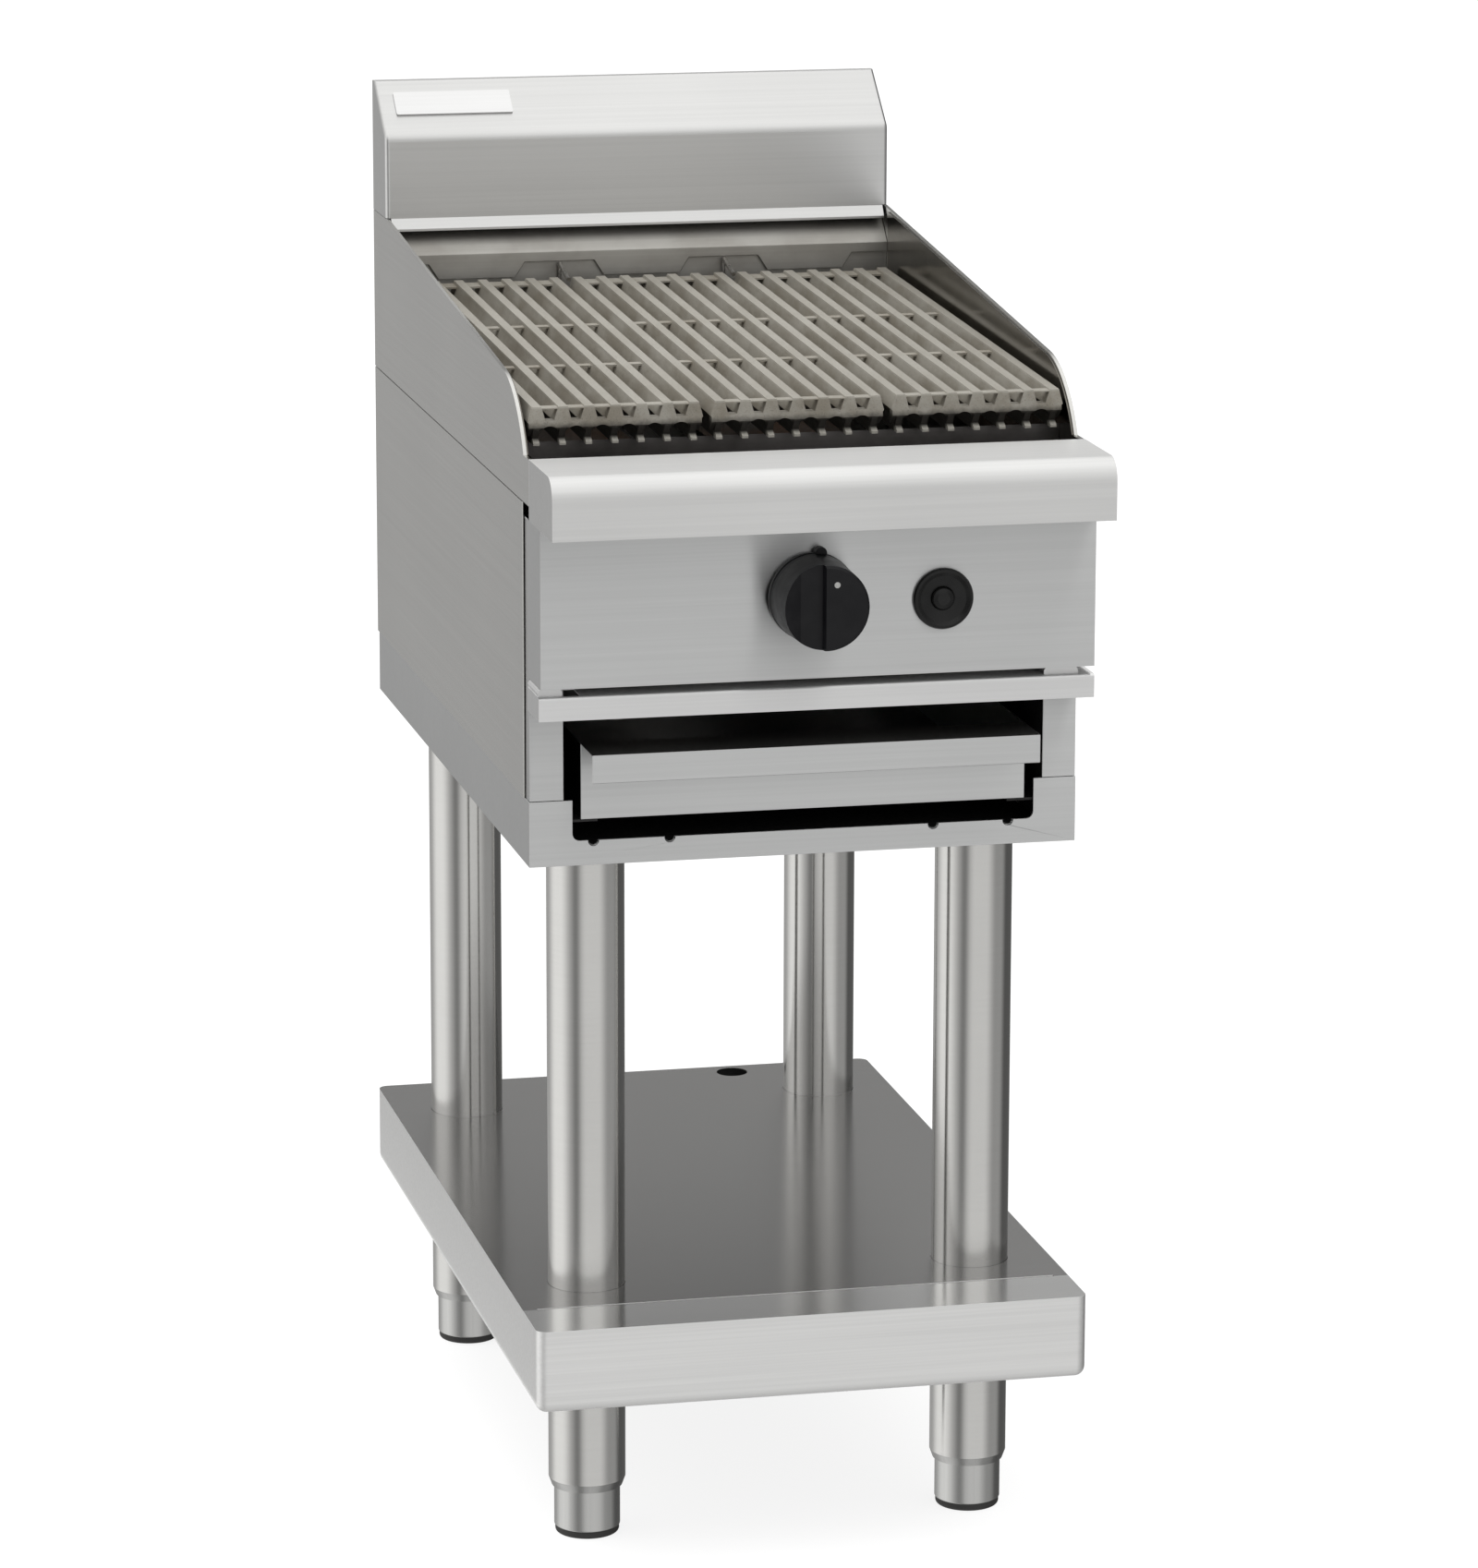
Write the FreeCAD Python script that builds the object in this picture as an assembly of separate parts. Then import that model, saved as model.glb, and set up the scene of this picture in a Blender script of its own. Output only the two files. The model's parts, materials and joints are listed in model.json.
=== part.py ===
"""Gas chargrill on an open leg stand, built as separate sheet-metal, cast and turned pieces.

Millimetres. +X is to the cook's right, -Y faces the cook and +Z is up. The origin is on the
floor, under the middle of the appliance.
"""
import FreeCAD, Part

import math
import os

V = FreeCAD.Vector
X_AXIS = V(1, 0, 0)
Y_AXIS = V(0, 1, 0)
Z_AXIS = V(0, 0, 1)

# ---------------------------------------------------------------- driving dimensions
HALF_WIDTH = 225.0          # outside of the side panels and of the nose
FRONT_Y = -300.0            # front face of the body, behind the control panel
BACK_Y = 401.0
OVERALL_H = 1130.0          # top of the splashback
NOSE_TOP_Z = 915.0          # working height
SHEET = 1.2
PANEL_SHEET = 1.5
GAP = 0.4                   # joint line between neighbouring panels
TOUCH = 0.2                 # face clearance between sheets of the same assembly

# leg stand
LEG_R = 31.75
LEG_WALL = 1.5
LEG_X = 162.0
LEG_FRONT_Y = -217.0
LEG_REAR_Y = 320.0
LEG_BOTTOM_Z = 48.0
BASE_Z0 = 585.0
BASE_Z1 = 638.0
BASE_HALF = 224.0
BASE_SHEET = 2.0
FLANGE_W = 28.0
SHELF_HALF = 228.0
SHELF_FRONT_Y = -345.0
SHELF_BACK_Y = 408.0
SHELF_TOP_Z = 214.0
SHELF_BOTTOM_Z = 145.0
SHELF_HOLE = (97.0, 387.0, 14.0)   # x, y and radius
SHELF_CREASE = 60.0         # seam behind the front edge

# adjustable feet
FOOT_R = 27.2
COLLAR_BOTTOM_Z = 41.0
PAD_H = 6.0

# body shell
SEAM_Z = 877.0              # joint between the lower side panel and the raised wing
SIDE_FRONT_Y = -283.0
WING_T = 3.0
WING_FRONT_Y = -310.0
WING_FOOT_Y = -289.0
WING_ARC_R = 110.0
WING_ARC_Y = -194.0
WING_ARC_Z = 860.1
WING_ARC_END = math.asin(0.085)   # angle short of the arc's crown where the slope takes over
WING_BACK_Z = 1016.0
WING_LEVEL_Y = 337.0        # the wing's top edge is level behind this plane
LINER_X = 220.6
WELL_HALF = 221.8           # half width between the wings, behind the liners

# nose, panel and front
NOSE_FRONT_Y = -404.0
NOSE_BOTTOM_Z = 866.0
NOSE_R = 18.0
PANEL_Y = -350.0
PANEL_HALF = 224.0
PANEL_Z0 = 739.0
LEDGE_Y = -347.0
LEDGE_Z0 = 713.0
LEDGE_Z1 = 732.0
OPENING_HALF = 196.0
OPENING_TOP_Z = 706.0
BASE_OPENING_HALF = 189.0
FRONT_RAIL_TOP_Z = 605.0
OPENING_CORNER_R = 6.0
DIMPLE_POSITIONS = (-172.0, -110.0, 106.0, 168.0)

# controls
KNOB_X = -8.0
KNOB_Z = 806.0
KNOB_R = 34.8
SKIRT_R = 35.4
KNOB_BACK_Y = -355.0
KNOB_FRONT_Y = -408.0
IGNITER_X = 99.0
IGNITER_Z = 799.0
IGNITER_R = 24.5
SPINDLE_R = 4.0
KNOB_GRIP_DEPTH = 7.0

# firebox and grates
FIREBOX_HALF = 220.4
FIREBOX_FRONT_Y = -247.8
FIREBOX_REAR_Y = 318.0
FIREBOX_Z0 = 736.4
GUTTER_FRONT_Y = -309.8
GUTTER_BACK_Y = -249.0
GUTTER_FLOOR_Z = 893.0
GUTTER_BACK_TOP_Z = 917.8
GRATE_RAIL_Z = 934.2
GRATE_STOP_Y = 328.0
GRATE_FRONT_Y = -270.0
GRATE_FRONT_Z = 949.0
GRATE_LENGTH = 570.0
GRATE_TILT = 1.7            # degrees, the back is higher
GRATE_PITCH = 147.2
BAR_PITCH = 21.1
BARS_PER_GRATE = 7
BAR_TOP_W = 7.6
BAR_BASE_W = 14.4
BAR_BASE_Z = -12.0
RIB_W = 5.0
RIB_Z = -31.0
UNDERCUT = 10.0             # how far the ribs' lower front corners slope back
RIM_TOP_Z = -0.9
CROSS_TOP_Z = -2.4
CROSS_LENGTH = 9.0
CROSS_POSITIONS = (176.0, 352.0)   # from the front end of the grate
REAR_BAR_LENGTH = 20.0

# burners and gas train
BURNER_X = 95.0
BURNER_Z = 790.0
BURNER_R = 14.0
RADIANT_Z = 836.0
MANIFOLD_Y = -285.0
PILOT_Z = 815.0
VALVE_FRONT_Y = -338.0
VALVE_BACK_Y = -302.0
PIPE_R = 8.0
PIPE_X = 211.0
PIPE_Z = 726.0
PIPE_CROSS_Z = 765.0
INLET_X = 160.0
INLET_Z = 772.0
INLET_R = 10.5
INLET_LENGTH = 18.0
INLET_HOLE_R = 21.0

# drip tray and its bay
TRAY_HALF = 182.0
TRAY_FRONT_Y = -298.0
TRAY_BACK_Y = 330.0
TRAY_Z0 = 622.0
TRAY_Z1 = 684.0
TRAY_LIP_Y = -345.0
TRAY_LIP_H = 23.0
BAY_X = 199.0
BAY_FLOOR_Z = 598.0
BAY_BACK_Y = 395.0

# splashback
SPLASH_FACE_Y = 337.0
SPLASH_BEND_Z = 1087.0
SPLASH_BEND_R = 9.0
SPLASH_END_R = 4.0
SPLASH_TOP_Y = 390.0
BAFFLE_BOTTOM_Z = 963.5
BAFFLE_FOLD_Y = 324.0
BAFFLE_FOLD_Z = 985.0


# ---------------------------------------------------------------- helpers
def box(x0, x1, y0, y1, z0, z1):
    """Axis-aligned block between two corners."""
    return Part.makeBox(x1 - x0, y1 - y0, z1 - z0, V(x0, y0, z0))


def cylinder(radius, start, axis, length):
    return Part.makeCylinder(radius, length, V(*start), axis)


def tube(outer, inner, start, axis, length):
    return cylinder(outer, start, axis, length).cut(cylinder(inner, start, axis, length))


def prism_x(points, x0, x1):
    """Closed outline of (y, z) points, run along X."""
    corners = [V(x0, y, z) for y, z in points]
    return face_of(corners).extrude(V(x1 - x0, 0, 0))


def prism_y(points, y0, y1):
    """Closed outline of (x, z) points, run along Y."""
    corners = [V(x, y0, z) for x, z in points]
    return face_of(corners).extrude(V(0, y1 - y0, 0))


def face_of(corners):
    return Part.Face(Part.makePolygon(corners + [corners[0]]))


def fuse_all(shapes):
    return shapes[0].multiFuse(shapes[1:]).removeSplitter()


def mirrored_x(shape):
    return shape.mirror(V(0, 0, 0), X_AXIS)


def revolve_about_y(points, x, z):
    """Closed outline of (radius, y) points, turned about the Y line through (x, z)."""
    corners = [V(x + radius, y, z) for radius, y in points]
    return face_of(corners).revolve(V(x, 0, z), Y_AXIS, 360)


def bent_pipe(points, radius, bend_r):
    """Round bar along straight runs joined by tangent arcs of one bend radius."""
    edges = []
    start = points[0]
    for before, corner, after in zip(points, points[1:], points[2:]):
        into = (corner - before).normalize()
        out = (after - corner).normalize()
        half_turn = into.getAngle(out) / 2
        reach = bend_r * math.tan(half_turn)
        arc_start = corner - into * reach
        arc_end = corner + out * reach
        towards = (out - into).normalize()
        centre = corner + towards * (bend_r / math.cos(half_turn))
        arc_middle = centre - towards * bend_r
        edges.append(Part.LineSegment(start, arc_start).toShape())
        edges.append(Part.Arc(arc_start, arc_middle, arc_end).toShape())
        start = arc_end
    edges.append(Part.LineSegment(start, points[-1]).toShape())
    path = Part.Wire(edges)
    direction = (points[1] - points[0]).normalize()
    ring = Part.Wire([Part.Circle(points[0], direction, radius).toShape()])
    return path.makePipeShell([ring], True, False)


def save(shape, name):
    shape.exportStep(os.path.join("parts", name + ".step"))


# ---------------------------------------------------------------- leg stand
def leg(x, y):
    """Round tube with the square plate that bolts it to the frame's flanges."""
    post = tube(LEG_R, LEG_R - LEG_WALL, (x, y, LEG_BOTTOM_Z), Z_AXIS, BASE_Z0 + 2 - LEG_BOTTOM_Z)
    plate_t = 3.0
    margin = 4.0
    side = math.copysign(1.0, x)
    inner_x = side * (LEG_X - LEG_R - margin)
    outer_x = side * (BASE_HALF - BASE_SHEET - 1)
    if y < 0:
        y0, y1 = FRONT_Y + BASE_SHEET + 1, y + LEG_R + margin
    else:
        y0, y1 = y - LEG_R - margin, BACK_Y - 2 * BASE_SHEET - 1
    x0, x1 = sorted((inner_x, outer_x))
    plate = box(x0, x1, y0, y1, BASE_Z0 + 2, BASE_Z0 + 2 + plate_t)
    return post.fuse(plate).removeSplitter()


def corner_bolts():
    """Hex heads that hold each leg's plate down on the frame's flange."""
    head_r = 6.5
    head_h = 5.0
    aside = 46.0
    apart = 24.0
    shapes = []
    for x in (-LEG_X - aside, LEG_X + aside):
        for y in (LEG_FRONT_Y - apart, LEG_FRONT_Y + apart, LEG_REAR_Y - apart, LEG_REAR_Y + apart):
            shapes.append(hex_bar(head_r, (x, y, BASE_Z0 + 5), Z_AXIS, head_h))
    return Part.makeCompound(shapes)


def hex_bar(radius, start, axis, length):
    """Hexagonal bar, across-corners radius given."""
    seed = X_AXIS if abs(axis.x) < 0.5 else Z_AXIS
    other = axis.cross(seed)
    corners = []
    for step in range(6):
        angle = math.radians(60 * step)
        corners.append(V(*start) + seed * (radius * math.cos(angle)) + other * (radius * math.sin(angle)))
    return face_of(corners).extrude(axis * length)


def base_frame():
    """Welded frame of folded rails; the front rail drops in the middle for the tray."""
    t = BASE_SHEET
    y_back = BACK_Y - t
    sides = []
    for sign in (-1, 1):
        wall = sorted((sign * (BASE_HALF - t), sign * BASE_HALF))
        flange = sorted((sign * (BASE_HALF - t - FLANGE_W), sign * (BASE_HALF - t)))
        sides.append(box(wall[0], wall[1], FRONT_Y, y_back, BASE_Z0, BASE_Z1))
        sides.append(box(flange[0], flange[1], FRONT_Y, y_back, BASE_Z0, BASE_Z0 + t))
    front = box(-BASE_HALF, BASE_HALF, FRONT_Y, FRONT_Y + t, BASE_Z0, BASE_Z1)
    opening = box(-BASE_OPENING_HALF, BASE_OPENING_HALF, FRONT_Y - 1, FRONT_Y + t + 1,
                  FRONT_RAIL_TOP_Z, BASE_Z1 + 20)
    lower_corners = [e for e in opening.Edges
                     if abs(e.tangentAt(e.FirstParameter).y) > 0.9 and e.BoundBox.ZMax < BASE_Z1]
    front = front.cut(opening.makeFillet(OPENING_CORNER_R, lower_corners))
    for x in DIMPLE_POSITIONS:
        front = front.cut(rail_dimple(x))
    front_flange = box(-BASE_HALF, BASE_HALF, FRONT_Y, FRONT_Y + FLANGE_W, BASE_Z0, BASE_Z0 + t)
    rear = box(-BASE_HALF, BASE_HALF, y_back - t, y_back, BASE_Z0, BASE_Z1)
    rear_flange = box(-BASE_HALF, BASE_HALF, y_back - FLANGE_W, y_back, BASE_Z0, BASE_Z0 + t)
    return fuse_all(sides + [front, front_flange, rear, rear_flange])


def rail_dimple(x):
    """Small pressed dimple at the top edge of the front rail, open at its upper end."""
    radius = 4.6
    ahead = 1.2
    return Part.makeSphere(radius, V(x, FRONT_Y - ahead, FRONT_RAIL_TOP_Z - 0.5))


def undershelf():
    """Inverted tray whose skirt curls under at the bottom, with a hole for each leg."""
    corner_r = 9.0
    curl_r = 12.0
    curl_return = 16.0
    outer = rounded_block(SHELF_HALF, SHELF_FRONT_Y, SHELF_BACK_Y, SHELF_BOTTOM_Z, SHELF_TOP_Z,
                          corner_r, curl_r)
    t = SHEET
    inner = rounded_block(SHELF_HALF - t, SHELF_FRONT_Y + t, SHELF_BACK_Y - t,
                          SHELF_BOTTOM_Z + t, SHELF_TOP_Z - t, corner_r - t, curl_r - t)
    mouth = box(-SHELF_HALF + curl_return, SHELF_HALF - curl_return, SHELF_FRONT_Y + curl_return,
                SHELF_BACK_Y - curl_return, SHELF_BOTTOM_Z - 1, SHELF_BOTTOM_Z + curl_r)
    shelf = outer.cut(inner).cut(mouth)
    for x in (-LEG_X, LEG_X):
        for y in (LEG_FRONT_Y, LEG_REAR_Y):
            shelf = shelf.cut(cylinder(LEG_R + TOUCH, (x, y, SHELF_TOP_Z - 5), Z_AXIS, 10))
    hole_x, hole_y, hole_r = SHELF_HOLE
    shelf = shelf.cut(cylinder(hole_r, (hole_x, hole_y, SHELF_TOP_Z - 5), Z_AXIS, 10))
    crease_y = SHELF_FRONT_Y + SHELF_CREASE
    crease = box(-SHELF_HALF + 12, SHELF_HALF - 12, crease_y, crease_y + 2.5,
                 SHELF_TOP_Z - 0.5, SHELF_TOP_Z + 1)
    return shelf.cut(crease)


def rounded_block(half, y0, y1, z0, z1, corner_r, bottom_r):
    """Block with rounded vertical corners and a rounded bottom edge."""
    block = box(-half, half, y0, y1, z0, z1)
    upright = [e for e in block.Edges if abs(e.tangentAt(e.FirstParameter).z) > 0.9]
    block = block.makeFillet(corner_r, upright)
    bottom = [e for e in block.Edges if e.BoundBox.ZMax < z0 + 0.01]
    return block.makeFillet(min(bottom_r, corner_r - 0.5), bottom)


def shelf_collars():
    """Clamp rings on the legs that carry the shelf from below."""
    height = 14.0
    ring_t = 5.0
    top = SHELF_TOP_Z - SHEET - TOUCH
    shapes = []
    for x in (-LEG_X, LEG_X):
        for y in (LEG_FRONT_Y, LEG_REAR_Y):
            start = (x, y, top - height)
            shapes.append(tube(LEG_R + ring_t, LEG_R + TOUCH, start, Z_AXIS, height))
    return Part.makeCompound(shapes)


def foot_collars():
    """Tapered sleeves pressed into the bottom of the legs, which guide the feet."""
    sleeve_h = 34.0
    bore_r = FOOT_R + 0.4
    shapes = []
    for x in (-LEG_X, LEG_X):
        for y in (LEG_FRONT_Y, LEG_REAR_Y):
            taper = Part.makeCone(bore_r + 1.6, LEG_R, LEG_BOTTOM_Z - COLLAR_BOTTOM_Z,
                                  V(x, y, COLLAR_BOTTOM_Z), Z_AXIS)
            sleeve = cylinder(LEG_R - LEG_WALL - 0.1, (x, y, LEG_BOTTOM_Z), Z_AXIS, sleeve_h)
            bore = cylinder(bore_r, (x, y, COLLAR_BOTTOM_Z - 1), Z_AXIS, sleeve_h + 20)
            shapes.append(taper.fuse(sleeve).cut(bore).removeSplitter())
    return Part.makeCompound(shapes)


def foot_insert(x, y):
    """Bullet foot: a cup that slides in the collar, with a fine edge line near the bottom."""
    wall = 3.0
    top = 92.0
    cup = cylinder(FOOT_R, (x, y, PAD_H), Z_AXIS, top - PAD_H)
    bottom_edge = [e for e in cup.Edges if e.BoundBox.ZMax < PAD_H + 0.01]
    cup = cup.makeFillet(1.5, bottom_edge)
    hollow = cylinder(FOOT_R - wall, (x, y, PAD_H + 8), Z_AXIS, top)
    return cup.cut(hollow)


def foot_pad(x, y):
    """Black rubber pad with a rounded lower edge."""
    pad = cylinder(FOOT_R - 0.8, (x, y, 0), Z_AXIS, PAD_H)
    bottom_edge = [e for e in pad.Edges if e.BoundBox.ZMax < 0.01]
    return pad.makeFillet(3.0, bottom_edge)


# ---------------------------------------------------------------- body shell
def side_panel():
    """Lower right side panel."""
    return box(HALF_WIDTH - PANEL_SHEET, HALF_WIDTH, SIDE_FRONT_Y, BACK_Y,
               BASE_Z1, SEAM_Z - GAP)


def wing_outline(inset):
    """Outline of the raised side wing in (y, z): curved front, sloping top, level back."""
    radius = WING_ARC_R - inset
    foot_z = NOSE_TOP_Z - GAP
    foot_angle = math.acos((WING_ARC_Y - WING_FOOT_Y - inset) / radius)
    top_z = WING_BACK_Z - inset
    slope = WING_ARC_END
    start = V(0, WING_ARC_Y - radius * math.cos(foot_angle), foot_z)
    middle_angle = (foot_angle + math.pi / 2 - slope) / 2
    middle = arc_point(radius, middle_angle)
    end = arc_point(radius, math.pi / 2 - slope)
    edges = [
        Part.Arc(start, middle, end).toShape(),
        Part.LineSegment(end, V(0, WING_LEVEL_Y, top_z)).toShape(),
        Part.LineSegment(V(0, WING_LEVEL_Y, top_z), V(0, BACK_Y, top_z)).toShape(),
    ]
    return edges, start


def arc_point(radius, angle):
    return V(0, WING_ARC_Y - radius * math.cos(angle), WING_ARC_Z + radius * math.sin(angle))


def side_wing():
    """Raised right side of the cooking well."""
    edges, start = wing_outline(0.0)
    z0 = SEAM_Z + GAP
    loop = [
        V(0, BACK_Y, WING_BACK_Z),
        V(0, BACK_Y, z0),
        V(0, WING_FRONT_Y, z0),
        V(0, WING_FRONT_Y, start.z),
        start,
    ]
    return plate_x(edges, loop, HALF_WIDTH - WING_T, WING_T)


def liner():
    """Inner skin of the right wing, which also walls the firebox."""
    inset = 2.0
    edges, start = wing_outline(inset)
    z_wing = SEAM_Z + 1.5
    edges = edges[:1] + [Part.LineSegment(edges[1].Vertexes[0].Point,
                                          V(0, FIREBOX_REAR_Y, liner_top(FIREBOX_REAR_Y, inset))).toShape()]
    loop = [
        V(0, FIREBOX_REAR_Y, liner_top(FIREBOX_REAR_Y, inset)),
        V(0, FIREBOX_REAR_Y, FIREBOX_Z0),
        V(0, FIREBOX_FRONT_Y, FIREBOX_Z0),
        V(0, FIREBOX_FRONT_Y, z_wing),
        V(0, WING_FRONT_Y + 2, z_wing),
        V(0, WING_FRONT_Y + 2, start.z),
        start,
    ]
    return plate_x(edges, loop, LINER_X, SHEET)


def liner_top(y, inset):
    """Height of the wing's sloping top edge at y, less the inset."""
    arc_end = arc_point(WING_ARC_R - inset, math.pi / 2 - WING_ARC_END)
    share = (y - arc_end.y) / (WING_LEVEL_Y - arc_end.y)
    return arc_end.z + share * (WING_BACK_Z - inset - arc_end.z)


def plate_x(edges, loop, x0, thickness):
    """Plate whose outline is the given edges closed by straight runs between the loop's points."""
    closing = [Part.LineSegment(a, b).toShape() for a, b in zip(loop, loop[1:])]
    wire = Part.Wire(Part.__sortEdges__(edges + closing))
    plate = Part.Face(wire).extrude(V(thickness, 0, 0))
    plate.translate(V(x0, 0, 0))
    return plate


def rear_panel():
    """Back sheet with the hole for the gas inlet."""
    panel = box(-WELL_HALF, WELL_HALF, BACK_Y - PANEL_SHEET, BACK_Y, BASE_Z1, WING_BACK_Z - 1)
    hole = cylinder(INLET_HOLE_R, (INLET_X, BACK_Y - 5, INLET_Z), Y_AXIS, 10)
    return panel.cut(hole)


def splashback():
    """Folded hood over the back: level top, sloping upper face, upright lower face, end plates."""
    z0 = WING_BACK_Z + GAP
    outline = splash_outline(0.0, z0)
    shell = prism_x(outline, -HALF_WIDTH, HALF_WIDTH)
    shell = shell.makeFillet(SPLASH_BEND_R, bend_edge(shell))
    upright = [e for e in shell.Edges
               if abs(e.tangentAt(e.FirstParameter).z) > 0.9 and e.BoundBox.YMax < SPLASH_FACE_Y + 1]
    shell = shell.makeFillet(SPLASH_END_R, upright)
    cavity = prism_x(splash_outline(SHEET, z0 - 5), -HALF_WIDTH + SHEET, HALF_WIDTH - SHEET)
    cavity = cavity.makeFillet(SPLASH_BEND_R - SHEET, bend_edge(cavity))
    return fuse_all([shell.cut(cavity), drip_lip(z0)])


def bend_edge(shape):
    """The edge between the upright face and the sloping one."""
    return [e for e in shape.Edges if abs(e.tangentAt(e.FirstParameter).x) > 0.9
            and abs(e.BoundBox.ZMax - SPLASH_BEND_Z) < 1.5
            and e.BoundBox.YMax < SPLASH_FACE_Y + 2]


def drip_lip(z0):
    """Lower edge of the face between the wings, turned out forwards over the flue baffle."""
    t = SHEET
    reach = 6.5
    drop = 9.0
    end_y = SPLASH_FACE_Y - reach
    outline = [
        (SPLASH_FACE_Y + t, z0 + 8),
        (SPLASH_FACE_Y, z0 + 8),
        (SPLASH_FACE_Y, z0 - 0.5),
        (end_y, z0 - drop),
        (end_y, z0 - drop - 2),
        (end_y + t, z0 - drop - 2),
        (SPLASH_FACE_Y + t, z0 - 1.5),
    ]
    return prism_x(outline, -LINER_X + TOUCH, LINER_X - TOUCH)


def splash_outline(inset, z0):
    """Section of the splashback in (y, z), moved inwards by the inset."""
    slope = math.atan2(OVERALL_H - SPLASH_BEND_Z, SPLASH_TOP_Y - SPLASH_FACE_Y)
    bend_shift = inset * math.tan((math.pi / 2 - slope) / 2)
    top_shift = inset * math.tan(slope / 2)
    return [
        (SPLASH_FACE_Y + inset, z0),
        (SPLASH_FACE_Y + inset, SPLASH_BEND_Z - bend_shift),
        (SPLASH_TOP_Y + top_shift, OVERALL_H - inset),
        (BACK_Y - inset, OVERALL_H - inset),
        (BACK_Y - inset, z0),
    ]


def badge_plate():
    """Blank plate on the sloping face, near the left end."""
    width = 103.0
    height = 27.0
    thickness = 1.5
    slope = math.degrees(math.atan2(OVERALL_H - SPLASH_BEND_Z, SPLASH_TOP_Y - SPLASH_FACE_Y))
    plate = box(0, width, 0, height, 0, thickness)
    corners = [e for e in plate.Edges if abs(e.tangentAt(e.FirstParameter).z) > 0.9]
    plate = plate.makeFillet(1.5, corners)
    plate.rotate(V(0, 0, 0), X_AXIS, slope)
    rise = math.tan(math.radians(slope))
    start_y = SPLASH_FACE_Y + 20
    plate.translate(V(-211, start_y, SPLASH_BEND_Z + (start_y - SPLASH_FACE_Y) * rise + TOUCH))
    return plate


def flue_baffle():
    """Folded sheet behind the grates, with tapered notches over the joints between grates."""
    t = SHEET
    rise = 21.0
    y0 = BAFFLE_FOLD_Y
    z0 = BAFFLE_FOLD_Z
    outline = [
        (y0, BAFFLE_BOTTOM_Z),
        (y0, z0),
        (y0 + rise, z0 + rise),
        (y0 + rise + 1.4 * t, z0 + rise),
        (y0 + t, z0 - 0.4 * t),
        (y0 + t, BAFFLE_BOTTOM_Z),
    ]
    baffle = prism_x(outline, -WELL_HALF, WELL_HALF)
    notch_h = 13.0
    foot_half = 40.0
    top_half = 31.0
    for index in (-1.5, -0.5, 0.5, 1.5):
        x = index * GRATE_PITCH
        notch = [
            (x - foot_half, BAFFLE_BOTTOM_Z - 1),
            (x + foot_half, BAFFLE_BOTTOM_Z - 1),
            (x + top_half, BAFFLE_BOTTOM_Z + notch_h),
            (x - top_half, BAFFLE_BOTTOM_Z + notch_h),
        ]
        baffle = baffle.cut(prism_y(notch, y0 - 1, y0 + t + 1))
    return baffle


# ---------------------------------------------------------------- nose, gutter and front
def nose():
    """Rounded front rail with closed ends, open at the back and over the control panel."""
    t = PANEL_SHEET
    solid = prism_x(nose_outline(0.0, WING_FRONT_Y - TOUCH), -HALF_WIDTH, HALF_WIDTH)
    solid = rounded_nose(solid, NOSE_FRONT_Y, NOSE_TOP_Z, NOSE_R)
    cavity = prism_x(nose_outline(t, WING_FRONT_Y + 10), -HALF_WIDTH + t, HALF_WIDTH - t)
    cavity = rounded_nose(cavity, NOSE_FRONT_Y + t, NOSE_TOP_Z - t, NOSE_R - t)
    well = box(-HALF_WIDTH + t, HALF_WIDTH - t, PANEL_Y, WING_FRONT_Y + 10,
               NOSE_BOTTOM_Z - 1, NOSE_TOP_Z - t)
    lip = box(-HALF_WIDTH + t, HALF_WIDTH - t, WING_FRONT_Y - TOUCH - t, WING_FRONT_Y - TOUCH,
              NOSE_TOP_Z - 10, NOSE_TOP_Z)
    return solid.cut(cavity).cut(well).fuse(lip).removeSplitter()


def nose_outline(inset, y_back):
    return [
        (y_back, NOSE_BOTTOM_Z + inset),
        (y_back, NOSE_TOP_Z - inset),
        (NOSE_FRONT_Y + inset, NOSE_TOP_Z - inset),
        (NOSE_FRONT_Y + inset, NOSE_BOTTOM_Z + inset),
    ]


def rounded_nose(solid, y_front, z_top, radius):
    """Rounds the long upper front edge of a block."""
    edges = [e for e in solid.Edges
             if e.BoundBox.YMax < y_front + 0.01 and e.BoundBox.ZMin > z_top - 0.01]
    return solid.makeFillet(radius, edges)


def grease_gutter():
    """Channel between the nose and the grates, with its drain spout over the drip tray."""
    t = SHEET
    half = FIREBOX_HALF
    floor = box(-half, half, GUTTER_FRONT_Y, GUTTER_BACK_Y, GUTTER_FLOOR_Z, GUTTER_FLOOR_Z + t)
    front = box(-half, half, GUTTER_FRONT_Y, GUTTER_FRONT_Y + t, GUTTER_FLOOR_Z, NOSE_TOP_Z - 3)
    back = box(-half, half, GUTTER_BACK_Y - t, GUTTER_BACK_Y, GUTTER_FLOOR_Z, GUTTER_BACK_TOP_Z)
    spout_r = 12.0
    spout_x = -150.0
    spout_y = (GUTTER_FRONT_Y + GUTTER_BACK_Y) / 2
    spout_z = TRAY_Z1 + 16
    start = (spout_x, spout_y, spout_z)
    spout = cylinder(spout_r, start, Z_AXIS, GUTTER_FLOOR_Z + t / 2 - spout_z)
    bore = cylinder(spout_r - t, (spout_x, spout_y, spout_z - 1), Z_AXIS, GUTTER_FLOOR_Z - spout_z + 5)
    return fuse_all([floor, front, back, spout]).cut(bore)


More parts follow.
